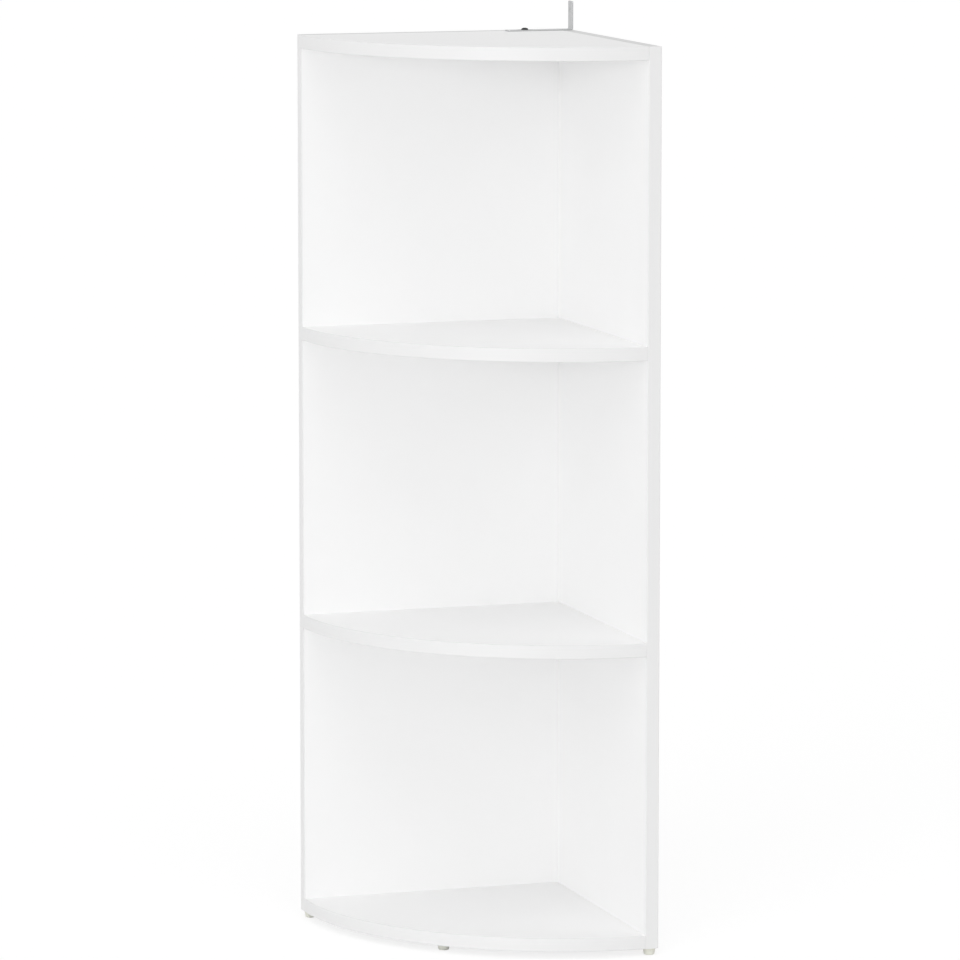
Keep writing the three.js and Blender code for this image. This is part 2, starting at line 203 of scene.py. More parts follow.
def carried(section: Array, origins: Array, across: Array, up: Array) -> Shell:
    """Section carried along a path: a path point plus the section's values along two directions.

    The faces point out if the cross product of the two directions runs along the path, and are
    turned round if it runs against it.

    Args:
        section: closed outline, or one such outline to each path point.
        origins: path points.
        across: direction of the section's first axis, for all of them or for each.
        up: direction of its second axis, given the same way.

    Returns:
        The closed sweep, with its faces outwards.
    """
    section = np.broadcast_to(section, (len(origins), *section.shape[-2:]))
    across, up = (np.broadcast_to(way, origins.shape) for way in (across, up))
    first, second = section[..., :1] * across[:, None], section[..., 1:] * up[:, None]
    sweep = skin(origins[:, None] + first + second)
    if np.cross(across[0], up[0]) @ (origins[1] - origins[0]) < 0:
        sweep.faces = [face[::-1] for face in sweep.faces]
    return sweep


def axes_along(direction: Array) -> Array:
    """Right-handed axes as rows, the third along a direction that is level or upright."""
    first = np.cross(UP if abs(direction @ UP) < 0.5 else Side.LEFT.out, direction)
    return np.stack([first, np.cross(direction, first), direction])


def bore(mouth: Array, direction: Array, diameter: float, depth: float, sides: int = 40) -> Shell:
    """Round cutter that enters at a mouth, along a direction, and starts above the surface."""
    rod = turned([diameter / 2] * 2, [-OVERRUN, depth], sides)
    return rod.placed(mouth, axes_along(direction))


def join(shells: list[Shell]) -> Shell:
    """Makes one shell of several that don't meet, with their corners numbered on."""
    starts = np.cumsum([0] + [len(shell.points) for shell in shells])
    return Shell(np.concatenate([shell.points for shell in shells]), [
        [int(start) + corner for corner in face]
        for start, shell in zip(starts, shells) for face in shell.faces])


def read(items: bpy.types.bpy_prop_collection, key: str, kind: type = np.int32,
         width: int = 1) -> Array:
    """A value of each of a mesh's items, so many numbers wide, as one long row."""
    items.foreach_get(key, values := np.empty(width * len(items), kind))
    return values


def linked(name: str, data: bpy.types.ID) -> bpy.types.Object:
    """Puts a mesh, lamp or camera into the scene as an object at the origin."""
    bpy.context.scene.collection.objects.link(thing := bpy.data.objects.new(name, data))
    return thing


def mesh_of(name: str, shell: Shell) -> bpy.types.Object:
    """Puts a shell into a new object at the origin.

    Args:
        name: of the object and its mesh.
        shell: the surface, whose lengths become a UV map.

    Returns:
        The object.
    """
    mesh = bpy.data.meshes.new(name)
    mesh.from_pydata(shell.points.tolist(), [], shell.faces)
    if shell.lengths is not None:
        lengths = shell.lengths[read(mesh.loops, "vertex_index")].astype(np.float32)
        mesh.uv_layers.new(name="lengths").uv.foreach_set("vector", lengths.ravel())
    mesh.update()
    return linked(name, mesh)


def cut(body: Shell, *cutters: Shell) -> Shell:
    """Takes cutters away from a body, one after another.

    Args:
        body: the shell that is cut.
        cutters: closed shells, each clear of itself.

    Returns:
        What is left, without lengths.
    """
    blank = mesh_of("blank", body)
    tools = [mesh_of("cutter", cutter) for cutter in cutters]
    for tool in tools:
        step = blank.modifiers.new("cut", "BOOLEAN")
        step.operation = "DIFFERENCE"
        step.solver = "EXACT"
        step.object = tool
    done = blank.evaluated_get(bpy.context.evaluated_depsgraph_get())
    left = bpy.data.meshes.new_from_object(done)
    points = read(left.vertices, "co", np.float32, 3).reshape(-1, 3).astype(float)
    corners, starts = read(left.loops, "vertex_index"), read(left.polygons, "loop_start")
    for mesh in (blank.data, *(tool.data for tool in tools), left):
        bpy.data.meshes.remove(mesh)
    return Shell(points, [face.tolist() for face in np.split(corners, starts[1:])])


# Finishes

COLOUR_A, COLOUR_B, COLOUR_MIXED = 6, 7, 2  # sockets of a Mix node that mixes colours
NOISE_LOW, NOISE_HIGH = 0.3, 0.7  # most of a noise lies between these
BUMP_SHARE = 0.5
CHIP_LENGTH, CHIP_THICKNESS, CHIP_RELIEF, CHIP_GLOSS = 2.2 * MM, 0.7 * MM, 0.15 * MM, 0.05


def linear(code: str) -> tuple[float, ...]:
    """Linear red, green, blue and a full alpha from the six hex digits of an sRGB colour."""
    shares = [int(code[i:i + 2], 16) / 255 for i in (1, 3, 5)]
    return (*(s / 12.92 if s <= 0.04045 else ((s + 0.055) / 1.055) ** 2.4 for s in shares), 1.0)


def add_node(tree: bpy.types.NodeTree, kind: str, inputs: dict[str | int, object] | None = None,
             **settings: object) -> bpy.types.Node:
    """Adds a node, sets it, and fills its inputs by value or by a link.

    Args:
        tree: that takes the node.
        kind: the node's class name after ShaderNode.
        inputs: its sockets by name or number, each with a value, another node's socket, or a node
            whose first output it takes.
        settings: its properties by name.

    Returns:
        The node.
    """
    node = tree.nodes.new(f"ShaderNode{kind}")
    for name, value in settings.items():
        setattr(node, name, value)
    for name, value in (inputs or {}).items():
        source = value.outputs[0] if isinstance(value, bpy.types.Node) else value
        if isinstance(source, bpy.types.NodeSocket):
            tree.links.new(source, node.inputs[name])
        else:
            node.inputs[name].default_value = source
    return node


def empty_tree(owner: bpy.types.Material | bpy.types.World) -> bpy.types.NodeTree:
    """Gives a material or world nodes of its own.

    Args:
        owner: that takes them.

    Returns:
        Its node tree, with nothing in it.
    """
    owner.use_nodes = True
    owner.node_tree.nodes.clear()
    return owner.node_tree


class Follows(Enum):
    """What a pattern's coordinates follow."""

    PLACE = "Object"
    SURFACE = "UV"


@dataclass(frozen=True)
class Grain:
    """Marks of a real size."""

    size: tuple[float, float, float]  # length of a mark along each axis that it follows
    relief: float = 0.0  # height of the marks
    gloss: float = 0.0  # how far the roughness goes up and down over them
    follows: Follows = Follows.PLACE  # the piece's place, or its lengths along and round

    def counted(self, tree: bpy.types.NodeTree) -> bpy.types.Node:
        """Coordinates that go up by one over each mark's length."""
        place = add_node(tree, "TexCoord").outputs[self.follows.value]
        return add_node(tree, "Mapping", {"Vector": place, "Scale": [1 / s for s in self.size]})

    def marks(self, tree: bpy.types.NodeTree) -> bpy.types.Node:
        """Noise from zero to one, whose period along each axis is the mark's length."""
        inputs = {"Vector": self.counted(tree), "Scale": 1.0, "Detail": 3.0}
        return add_node(tree, "TexNoise", inputs)


@dataclass(frozen=True)
class Finish:
    """A surface of the real unit: its colours, its gloss, and two sizes of marks."""

    name: str  # what the surface is and how it was made
    colour: str  # sRGB hex of its light marks
    shade: str  # sRGB hex of its dark marks
    roughness: float
    cloud: Grain  # broad marks, in colour
    grain: Grain  # fine marks, in gloss and relief
    metallic: float = 0.0

    def tone(self, tree: bpy.types.NodeTree) -> bpy.types.Node:
        """Share of the light colour over the surface."""
        return self.cloud.marks(tree)

    def material(self) -> bpy.types.Material:
        """Builds the material, or gives back the one that is already there.

        The gloss spans its range where the noise spans most of its own.

        Returns:
            A Principled material with the finish's own marks.
        """
        if self.name in bpy.data.materials:
            return bpy.data.materials[self.name]
        material = bpy.data.materials.new(self.name)
        tree = empty_tree(material)
        colour = add_node(tree, "Mix", {
            "Factor": self.tone(tree), COLOUR_A: linear(self.shade),
            COLOUR_B: linear(self.colour)}, data_type="RGBA")
        grain, gloss = self.grain.marks(tree), self.grain.gloss
        roughness = add_node(tree, "MapRange", {
            "Value": grain, "From Min": NOISE_LOW, "From Max": NOISE_HIGH,
            "To Min": self.roughness - gloss, "To Max": self.roughness + gloss})
        bump = add_node(tree, "Bump", {
            "Height": grain, "Distance": self.grain.relief, "Strength": BUMP_SHARE})
        shader = add_node(tree, "BsdfPrincipled", {
            "Base Color": colour.outputs[COLOUR_MIXED], "Roughness": roughness, "Normal": bump,
            "Metallic": self.metallic})
        add_node(tree, "OutputMaterial", {"Surface": shader})
        return material


def even(length: float) -> tuple[float, float, float]:
    """A mark as long each way."""
    return (length, length, length)


@dataclass(frozen=True)
class Melamine(Finish):
    """Melamine-faced chipboard, pressed between finely etched plates.

    An even neutral white with a satin gloss and a pearl texture. A pearl is about 0.4 mm wide and
    is drawn 1.2 mm wide, so that it shows from near by.
    """

    name: str = "melamine_white_pearl"
    colour: str = "#f8f8f8"
    shade: str = "#f6f6f6"
    roughness: float = 0.7
    cloud: Grain = Grain(even(90 * MM))
    grain: Grain = Grain(even(1.2 * MM), 0.02 * MM, 0.03)


@dataclass(frozen=True)
class EdgeBandPlastic(Finish):
    """White ABS edge band, extruded, milled flush and scraped along its length.

    A shade greyer than the boards, satin, with faint scraper lines that follow the edge. A line is
    about 0.2 mm wide and is drawn 0.8 mm wide.
    """

    name: str = "abs_edge_band_white"
    colour: str = "#eaeaea"
    shade: str = "#e7e7e7"
    roughness: float = 0.45
    cloud: Grain = Grain((60 * MM, 0.8 * MM, 1.0), follows=Follows.SURFACE)
    grain: Grain = Grain((60 * MM, 0.8 * MM, 1.0), 0.01 * MM, 0.05, Follows.SURFACE)


@dataclass(frozen=True)
class ShadeGreyedBand(EdgeBandPlastic):
    """Band on the top and rear edges of the panels, greyed with painted shade.

    Darker and duller than the band of the front edges. The grey is painted shade for the dark line
    along the joint with the top board.
    """

    name: str = "edge_band_painted_shade"
    # grey of painted shade, darker than the white of the front bands
    colour: str = "#dfdfdf"
    shade: str = "#dbdbdb"
    roughness: float = 0.7


@dataclass(frozen=True)
class Chipboard(Finish):
    """Raw sawn edge of three-layer chipboard.

    Flat chips of mixed softwood, about 2 mm long and a third as thick, pressed flat in the board,
    give a speckled tan edge with small dark voids.
    """

    name: str = "chipboard_sawn"
    colour: str = "#d9bd92"
    shade: str = "#a98456"
    roughness: float = 0.85
    cloud: Grain = Grain((CHIP_LENGTH, CHIP_LENGTH, CHIP_THICKNESS))
    grain: Grain = Grain((CHIP_LENGTH / 2, CHIP_LENGTH / 2, CHIP_THICKNESS / 2), CHIP_RELIEF,
                         CHIP_GLOSS)

    def tone(self, tree: bpy.types.NodeTree) -> bpy.types.Node:
        """Each chip as a cell with a tone of its own."""
        chips = add_node(tree, "TexVoronoi", {"Vector": self.cloud.counted(tree), "Scale": 1.0})
        return add_node(tree, "SeparateColor", {"Color": chips.outputs["Color"]})


@dataclass(frozen=True)
class MouldedPlastic(Finish):
    """Natural polypropylene foot, injection moulded in a spark-eroded tool.

    Pale grey with a hint of green, slightly waxy, with faint flow clouds and a fine even grain of
    about 0.3 mm that is drawn 0.7 mm wide.
    """

    name: str = "polypropylene_pale_grey"
    colour: str = "#e9eae0"
    shade: str = "#e2e3d9"
    roughness: float = 0.48
    cloud: Grain = Grain(even(6 * MM))
    grain: Grain = Grain(even(0.7 * MM), 0.03 * MM, 0.04)


@dataclass(frozen=True)
class PlatedStrip(Finish):
    """Cold-rolled steel strip, zinc plated and passivated.

    Grey with a satin gloss. The plating has soft patches, and rolling leaves streaks about 0.5 mm
    wide along both legs, which lie along x and z.
    """

    name: str = "steel_strip_zinc_plated"
    colour: str = "#c8c9c9"
    shade: str = "#b6b7b8"
    roughness: float = 0.36
    cloud: Grain = Grain(even(9 * MM))
    grain: Grain = Grain((25 * MM, 0.5 * MM, 25 * MM), 0.01 * MM, 0.08)
    metallic: float = 1.0


@dataclass(frozen=True)
class DieCastZinc(Finish):
    """Cam housing, die cast in zinc and tumbled.

    Dull blue-grey with a cloudy tone in patches of about 3 mm and the fine tooth of tumbling, about
    0.2 mm wide and drawn 0.4 mm wide.
    """

    name: str = "zinc_die_cast"
    colour: str = "#bfc1c2"
    shade: str = "#9b9da0"
    roughness: float = 0.5
    cloud: Grain = Grain(even(3 * MM))
    grain: Grain = Grain(even(0.4 * MM), 0.02 * MM, 0.08)
    metallic: float = 1.0


@dataclass(frozen=True)
class PlatedBolt(Finish):
    """Cam bolt, cold-headed steel, zinc plated with a faint yellow passivate.

    Brighter and smoother than the cam. The plating's tone changes in patches of about 6 mm, and its
    gloss in patches of about 1 mm.
    """

    name: str = "steel_headed_zinc_plated"
    colour: str = "#d0cfc8"
    shade: str = "#b4b3ad"
    roughness: float = 0.32
    cloud: Grain = Grain(even(6 * MM))
    grain: Grain = Grain(even(0.8 * MM), 0.01 * MM, 0.08)
    metallic: float = 1.0


@dataclass(frozen=True)
class BlackPhosphate(Finish):
    """Bracket screw, case-hardened steel with a black phosphate coat.

    Soft black with a slight sheen, because the crystals are about 0.01 mm; they are drawn 0.5 mm
    wide in the gloss.
    """

    name: str = "steel_black_phosphate"
    colour: str = "#222224"
    shade: str = "#121213"
    roughness: float = 0.45
    cloud: Grain = Grain(even(1 * MM))
    grain: Grain = Grain(even(0.5 * MM), 0.02 * MM, 0.08)
    metallic: float = 0.4


@dataclass(frozen=True)
class Beech(Finish):
    """Unfinished beech dowel, turned and pressed with flutes.

    Pale pinkish brown with darker flecks along the dowel, about 0.6 mm wide and 4 mm long, in a
    matt surface.
    """

    name: str = "beech_unfinished"
    colour: str = "#dfbd92"
    shade: str = "#b98b5e"
    roughness: float = 0.7
    cloud: Grain = Grain((4 * MM, 0.6 * MM, 1.0), follows=Follows.SURFACE)
    grain: Grain = Grain((4 * MM, 0.3 * MM, 1.0), 0.05 * MM, 0.05, Follows.SURFACE)


# Pieces

SHARP_PAST = 38.0  # degrees between faces that no longer shade as one surface
COATED_LEAN = 0.2  # least share of a coated face's normal along the thickness
SOFTEN = 0.1 * MM  # radius of the boards' long edges


def dress(name: str, shell: Shell, finish: Finish) -> bpy.types.Object:
    """Makes a finished piece that stands for a node.

    Args:
        name: of the node, which the piece's own name starts with.
        shell: its surface in place.
        finish: what it is made of.

    Returns:
        The piece, riding on the unit's body.
    """
    thing = mesh_of(f"{name}_finished", shell)
    mesh = thing.data
    mesh.materials.append(finish.material())
    mesh.polygons.foreach_set("use_smooth", np.ones(len(mesh.polygons), bool))
    mesh.set_sharp_from_angle(angle=np.radians(SHARP_PAST))
    thing.modifiers.new("even_faces", "WEIGHTED_NORMAL").keep_sharp = True
    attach(thing, BODY)
    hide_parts(name)
    log.info("%s: %d corners, %d faces", name, len(mesh.vertices), len(mesh.polygons))
    return thing


def dress_board(name: str, shell: Shell, across: Array, core: Finish) -> None:
    """Makes a finished board: two coated sides, and the sawn finish on every other face.

    A face is coated if its normal leans along the board's thickness and its middle lies within the
    rounding of one side.

    Args:
        name: of the node.
        shell: the board with its bores.
        across: direction of its thickness.
        core: finish of the sawn edges and bores.
    """
    mesh = dress(name, shell, Melamine()).data
    mesh.materials.append(core.material())
    depth, lean = (read(mesh.polygons, key, np.float32, 3).reshape(-1, 3) @ across
                   for key in ("center", "normal"))
    near = np.minimum(depth - depth.min(), depth.max() - depth) < SOFTEN
    coated = near & (np.abs(lean) > COATED_LEAN)
    mesh.polygons.foreach_set("material_index", np.where(coated, 0, 1).astype(np.int32))


def middle_of(node: str, height: float) -> Array:
    """Point at a height on the upright line through the middle of a node's box."""
    low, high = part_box(node)
    return np.array([(low.x + high.x) / 2, (low.y + high.y) / 2, height])


@dataclass(frozen=True)
class JoinerySizes:
    """Places and bores of the cams, bolts and dowels."""

    from_rear: float = 80 * MM
    from_front: float = 60 * MM
    fit: float = 0.2 * MM
    cam_bore: float = 15 * MM
    cam_bore_depth: float = 12.55 * MM
    cam_bore_sides: int = 64
    setback: float = 34 * MM
    shank_bore: float = 8 * MM
    thread_bore: float = 5.4 * MM
    thread_bore_depth: float = 11.2 * MM
    dowel: float = 8 * MM
    dowel_in_edge: float = 20 * MM
    dowel_in_face: float = 10 * MM

    def stations(self, reach: float) -> dict[Station, float]:
        """Distance of each place from the inner corner, with the dowel's halfway."""
        rear, front = self.from_rear, reach - self.from_front
        return {Station.REAR: rear, Station.FRONT: front, Station.DOWEL: (rear + front) / 2}

    def dowel_bore(self, joint: Array, out: Array) -> Shell:
        """Cutter for a dowel on both sides of a joint, from the edge out into the face."""
        back, on = self.dowel_in_edge + self.fit - OVERRUN, self.dowel_in_face + self.fit
        return bore(joint - out * back, out, self.dowel + 2 * self.fit, back + on)


JOINERY = JoinerySizes()


@dataclass(frozen=True)
class Joint:
    """Place where a fitting draws a board against a panel, or a dowel locates it."""

    board: str
    side: Side
    where: Station
    low: Array  # point on the panel's inner face at the board's underside
    axis: Array  # the same at the middle of the board's thickness

    @property
    def label(self) -> str:
        """Start of the names of its fittings, or a dowel's whole name."""
        return f"{self.board}_{self.side.value}_{self.where.value}"

    @property
    def cam(self) -> Array:
        """Middle of the cam at the board's underside."""
        return self.low - self.side.out * JOINERY.setback

    def board_bore(self) -> Shell:
        """Cutter in the board for the cam or the dowel."""
        return JOINERY.dowel_bore(self.axis, self.side.out) if self.where is Station.DOWEL else bore(
            self.cam, UP, JOINERY.cam_bore, JOINERY.cam_bore_depth, JOINERY.cam_bore_sides)

    def panel_bore(self) -> Shell:
        """Cutter in the panel for the bolt's thread or the dowel."""
        return JOINERY.dowel_bore(self.axis, self.side.out) if self.where is Station.DOWEL else bore(
            self.axis, self.side.out, JOINERY.thread_bore, JOINERY.thread_bore_depth)


@dataclass(frozen=True)
class Carcass:
    """Main lines of the unit, read from the frame."""

    corner: Array  # inner rear corner at the underside of the carcass
    reach: float  # from the inner corner to the front edge
    board: float  # thickness of every board
    levels: dict[str, float]  # height of each board's underside
    top: float  # height of the carcass

    @classmethod
    def from_frame(cls) -> "Carcass":
        """Reads the lines from the boxes of the boards and bands.

        Returns:
            The lines.
        """
        levels = {name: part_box(name)[0].z for name in LEVELS}
        low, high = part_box("bottom_board")
        corner = np.array([high.x, high.y, low.z])
        reach = high.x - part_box("bottom_board_band")[0].x
        return cls(corner, reach, high.z - low.z, levels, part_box("top_board")[1].z)

    def joints(self) -> list[Joint]:
        """Finds the joints of the boards with the panels.

        Returns:
            Joints from the lowest board up and side by side; some boards have no dowels.
        """
        found = []
        for board, level in self.levels.items():
            for side in Side:
                for where, ahead in JOINERY.stations(self.reach).items():
                    if where is not Station.DOWEL or board in DOWELLED:
                        point = self.corner + side.forward * ahead
                        low = np.array([point[0], point[1], level])
                        found.append(Joint(board, side, where, low, low + UP * self.board / 2))
        return found

    def corner_joints(self) -> list[Array]:
        """Finds where dowels cross the rear corner joint, halfway up each compartment.

        Returns:
            The points from the lowest.
        """
        heights = list(self.levels.values())
        middle = self.corner + Side.LEFT.out * self.board / 2
        return [np.array([middle[0], middle[1], (low + self.board + high) / 2])
                for low, high in zip(heights, heights[1:])]


@dataclass
class QuarterBoard:
    """Quarter-round board: coated faces, a sawn arc and two sawn straight edges."""

    name: str  # of the board's node
    carcass: Carcass
    extra: list[Shell]  # bores of its own
    steps: int = 120  # chords of the arc

    def build(self) -> None:
        """Makes the board, cuts the bolts' bores after the cams' that they end in, and dresses it."""
        low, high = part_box(self.name)
        outline = np.concatenate([np.zeros((1, 2)), arc(high.x - low.x, 180, 270, self.steps)])
        body = plate(outline, low.z, high.z, SOFTEN).placed([high.x, high.y, 0.0])
        joints = [joint for joint in self.carcass.joints() if joint.board == self.name]
        bores = join([*self.extra, *(joint.board_bore() for joint in joints)])
        bolts = join([bore(joint.axis, -joint.side.out, JOINERY.shank_bore, JOINERY.setback)
                      for joint in joints if joint.where is not Station.DOWEL])
        dress_board(self.name, cut(body, bores, bolts), UP, Chipboard())


@dataclass
class SidePanel:
    """Side panel: a coated board on edge."""

    side: Side
    carcass: Carcass
    holes: list[Shell]  # bores of its own, such as those of the feet

    def build(self) -> None:
        """Makes the panel lying, sets it up on edge, and dresses its faces and its core."""
        name = f"{self.side.value}_side_panel"
        low, high = map(np.array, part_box(name))
        length, thick, tall = np.abs([self.side.forward, self.side.out, UP]) @ (high - low)
        body = plate(rounded_box(length, tall, (0.0,) * 4), 0.0, thick, SOFTEN)
        axes = np.stack([-self.side.forward, UP, np.cross(-self.side.forward, UP)])
        body = body.placed(np.where(axes[2] < 0, high, low), axes)
        chip = np.where(self.side.out > 0, CHIP_THICKNESS, CHIP_LENGTH)
        core = Chipboard(f"chipboard_sawn_{self.side.value}", cloud=Grain(tuple(chip)),
                         grain=Grain(tuple(chip / 2), CHIP_RELIEF, CHIP_GLOSS))
        bores = [joint.panel_bore() for joint in self.carcass.joints() if joint.side is self.side]
        dress_board(name, cut(body, join([*self.holes, *bores])), self.side.out, core)


@dataclass(frozen=True)
class EdgeBands:
    """Edge bands: a flat strip with both long outer edges milled round."""

    carcass: Carcass
    thick: float = 1.15 * MM  # with its glue
    mill: float = 0.9 * MM  # radius of the milled edges
    steps: int = 120  # chords of a band round an arc

    def section(self) -> Array:
        """Outline of a band: thickness along the first axis, width along the second."""
        return rounded_box(self.thick, self.carcass.board, (0.0, self.mill, self.mill, 0.0))

    def round_board(self, name: str) -> None:
        """Band round a board's arc: the section carried along the arc, its thickness outwards.

        Args:
            name: of the board.
        """
        outward = np.insert(arc(1.0, 180, 270, self.steps), 2, 0.0, axis=1)
        middle = np.array([*self.carcass.corner[:2], self.carcass.levels[name]])
        origins = middle + outward * (self.carcass.reach - self.thick)
        band = carried(self.section(), origins, outward, UP)
        dress(f"{name}_band", band, EdgeBandPlastic())

    def straight(self, side: Side, edge: Edge) -> None:
        """Band on a straight edge of a panel, from its node's box.

        Args:
            side: which panel.
            edge: which of its edges.
        """
        name = f"{side.value}_panel_{edge.value}_band"
        low, high = map(np.array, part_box(name))
        outward = {Edge.FRONT: side.forward, Edge.TOP: UP, Edge.REAR: -side.forward}[edge]
        run = UP if edge is not Edge.TOP else side.forward
        length, depth = np.abs([run, outward]) @ (high - low)
        start = (low + high) / 2 - length / 2 * run + outward * (depth / 2)
        inner = start - outward * self.thick - side.out * (self.carcass.board / 2)
        band = carried(self.section(), np.stack([inner, inner + run * length]), outward, side.out)
        # the top and rear bands take a grey that is painted shade for the joint with the top board
        finish = EdgeBandPlastic() if edge is Edge.FRONT else ShadeGreyedBand()
        dress(name, band, finish)


@dataclass(frozen=True)
class Foot:
    """Push-in plastic foot: a tapered flange under a board and a peg up into it."""

    node: str
    underside: float  # height of the board's underside
    top: float = 15.5 * MM
    bottom: float = 12.7 * MM
    rim: float = 1.2 * MM
    rim_steps: int = 8
    lip: float = 0.3 * MM
    peg: float = 8 * MM
    peg_length: float = 12 * MM
    peg_chamfer: float = 0.8 * MM
    gate: float = 3.4 * MM
    gate_depth: float = 0.4 * MM
    sides: int = 64

    def peg_bore(self) -> Shell:
        """Cutter for the peg, up from the board's underside."""
        width, depth = self.peg + 2 * JOINERY.fit, self.peg_length + JOINERY.fit
        return bore(middle_of(self.node, self.underside), UP, width, depth)

    def build(self) -> None:
        """Turns the foot: a gate dimple, a quarter arc as its rim, a taper, a lip and the peg."""
        rim = arc(self.rim, -90, 0, self.rim_steps) + [self.bottom / 2 - self.rim, self.rim]
        top, gate, peg = self.top / 2, self.gate / 2, self.peg / 2
        peg_top = self.underside + self.peg_length
        profile = [
            (gate / 2, self.gate_depth), (gate - self.gate_depth, self.gate_depth), (gate, 0.0),
            *map(tuple, rim),
            (top - self.lip / 4, self.underside - self.lip), (top - self.lip, self.underside),
            (peg, self.underside), (peg, peg_top - self.peg_chamfer),
            (peg - self.peg_chamfer, peg_top)]
        body = turned(*np.transpose(profile), self.sides).placed(middle_of(self.node, 0.0))
        dress(self.node, body, MouldedPlastic())


@dataclass(frozen=True)
class WallBracket:
    """Steel strip on the top board, bent up at its end, with a slot and a wall-screw hole."""

    node: str = "wall_bracket"
    thick: float = 1.5 * MM
    bend: float = 1.5 * MM
    bend_steps: int = 12
    corner: float = 2 * MM
    corner_steps: int = 8
    burr: float = 0.2 * MM
    burr_steps: int = 3
    slot: float = 4.6 * MM
    slot_length: float = 20 * MM
    slot_from_end: float = 23 * MM
    slot_steps: int = 16
    wall_hole: float = 5 * MM
    wall_hole_height: float = 24 * MM
    wall_hole_sides: int = 48

    def path(self, lying: float, standing: float) -> tuple[Array, Array, Array]:
        """Middle line of the strip: along the board, round the bend and up.

        At distance s along it the strip has turned by s less the flat run f, over the bend's middle
        radius r, held from zero to a quarter turn. Across, a point is the lesser of s and f plus
        r sin; its rise is r (1 - cos) plus what is left of s after the bend. Points lie closer, by
        one minus the cosine, where the ends' corners are rounded.

        Args:
            lying: length of the leg on the board.
            standing: height of the leg against the wall.

        Returns:
            Path points from the end of the lying leg with x towards the wall and z up, the
            direction of the strip's upper side at each, and the distance to the nearer end.
        """
        radius, quarter = self.bend + self.thick / 2, np.pi / 2
        flat, upright = (leg - self.bend - self.thick for leg in (lying, standing))
        run = flat + upright + radius * quarter
        ease = self.corner * (1 - np.cos(np.linspace(0, quarter, self.corner_steps + 1)))
        bent = flat + radius * np.linspace(0, quarter, self.bend_steps + 1)
        gone = np.concatenate([ease, bent, run - ease[::-1]])
        turn = np.clip((gone - flat) / radius, 0, quarter)
        sine, cosine, level = np.sin(turn), np.cos(turn), np.zeros_like(gone)
        rise = self.thick / 2 + radius * (1 - cosine) + np.clip(gone - bent[-1], 0, None)
        line = np.stack([np.minimum(gone, flat) + radius * sine, level, rise], axis=1)
        return line, np.stack([-sine, level, cosine], axis=1), np.minimum(gone, run - gone)

    def build(self) -> None:
        """Carries the strip's section along its path and cuts the slot and the hole.

        Near an end, at a distance d under the corner's radius R, the half width is w / 2 - R plus
        the root of R squared less (R - d) squared.
        """
        low, high = map(np.array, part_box(self.node))
        lying, width, standing = high - low
        line, upper, to_end = self.path(lying, standing)
        origin = np.array([low[0], (low[1] + high[1]) / 2, low[2]])
        short = np.clip(self.corner - to_end, 0, self.corner)
        half = width / 2 - self.corner + np.sqrt(self.corner ** 2 - short ** 2)
        section = rounded_box(width, self.thick, (self.burr,) * 4, self.burr_steps)
        section = section - [width / 2, self.thick / 2]
        sections = np.repeat(section[None], len(line), axis=0)
        sections[..., 0] += (half - width / 2)[:, None] * np.sign(section[:, 0])
        strip = carried(sections, origin + line, -Side.LEFT.out, upper)
        middle = (self.slot_length - self.slot) / 2
        ends = [arc(self.slot / 2, turn, turn + 180, self.slot_steps) + [way * middle, 0.0]
                for turn, way in ((90, -1), (-90, 1))]
        slot = plate(np.concatenate(ends), -OVERRUN, self.thick + OVERRUN, self.burr)
        mouth = np.array([high[0], origin[1], low[2] + self.wall_hole_height])
        hole = bore(mouth, -Side.RIGHT.out, self.wall_hole, self.thick + OVERRUN,
                    self.wall_hole_sides)
        strip = cut(strip, slot.placed(origin + [self.slot_from_end, 0.0, 0.0]), hole)
        dress(self.node, strip, PlatedStrip())


@dataclass(frozen=True)
class Thread:
    """Screw thread as a ridge that climbs one pitch in each turn."""

    root: float  # diameter between the ridges
    crest: float  # diameter over them
    pitch: float  # climb in a turn
    steps: int  # heights along it

    def rod(self, below: Array, ends: tuple[float, float], above: Array, sides: int) -> Shell:
        """Turned body with the thread between two plain stretches.

        The ridge is one less the distance from its middle line, in thirds of a pitch, and it fades
        in and out over the last pitch at each end.

        Args:
            below: radius and height of each plain ring up to the thread.
            ends: heights at which the thread begins and ends.
            above: the plain rings past it, given the same way.
            sides: corners round the axis.

        Returns:
            The closed body.
        """
        heights = np.linspace(*ends, self.steps)
        turn = np.linspace(0, 1, sides, endpoint=False)
        phase = (heights[:, None] / self.pitch - turn) % 1
        ridge = np.clip(1 - 3 * np.abs(phase - 0.5), 0, 1)
        to_end = np.minimum(heights - ends[0], ends[1] - heights)
        fade = np.clip(to_end / self.pitch, 0, 1)[:, None]
        radii = (self.root + (self.crest - self.root) * ridge * fade) / 2
        low, high = (plain[:, :1] + np.zeros(sides) for plain in (below, above))
        heights = np.concatenate([below[:, 1], heights, above[:, 1]])
        return turned(np.concatenate([low, radii, high]), heights, sides)


@dataclass(frozen=True)
class Cross:
    """Recess for a cross driver, narrowing to its floor."""

    span: float  # across both arms at the surface
    width: float  # of an arm at the surface
    depth: float
    taper: float  # size of the floor as a share of the mouth

    def cutter(self) -> Shell:
        """Cutter from zero down along -Z, three corners to an arm: the end's two and an inner one.

        Returns:
            The cutter, which starts above zero.
        """
        reach, half = self.span / 2, self.width / 2
        arm = np.array([[reach, -half], [reach, half], [half, half]])
        quarter = np.array([[0.0, 1.0], [-1.0, 0.0]])
        outline = np.concatenate([arm @ np.linalg.matrix_power(quarter, i) for i in range(4)])
        scales = np.array([self.taper, 1 + (1 - self.taper) * OVERRUN / self.depth])
        return stacked(scales[:, None, None] * outline, [-self.depth, OVERRUN])


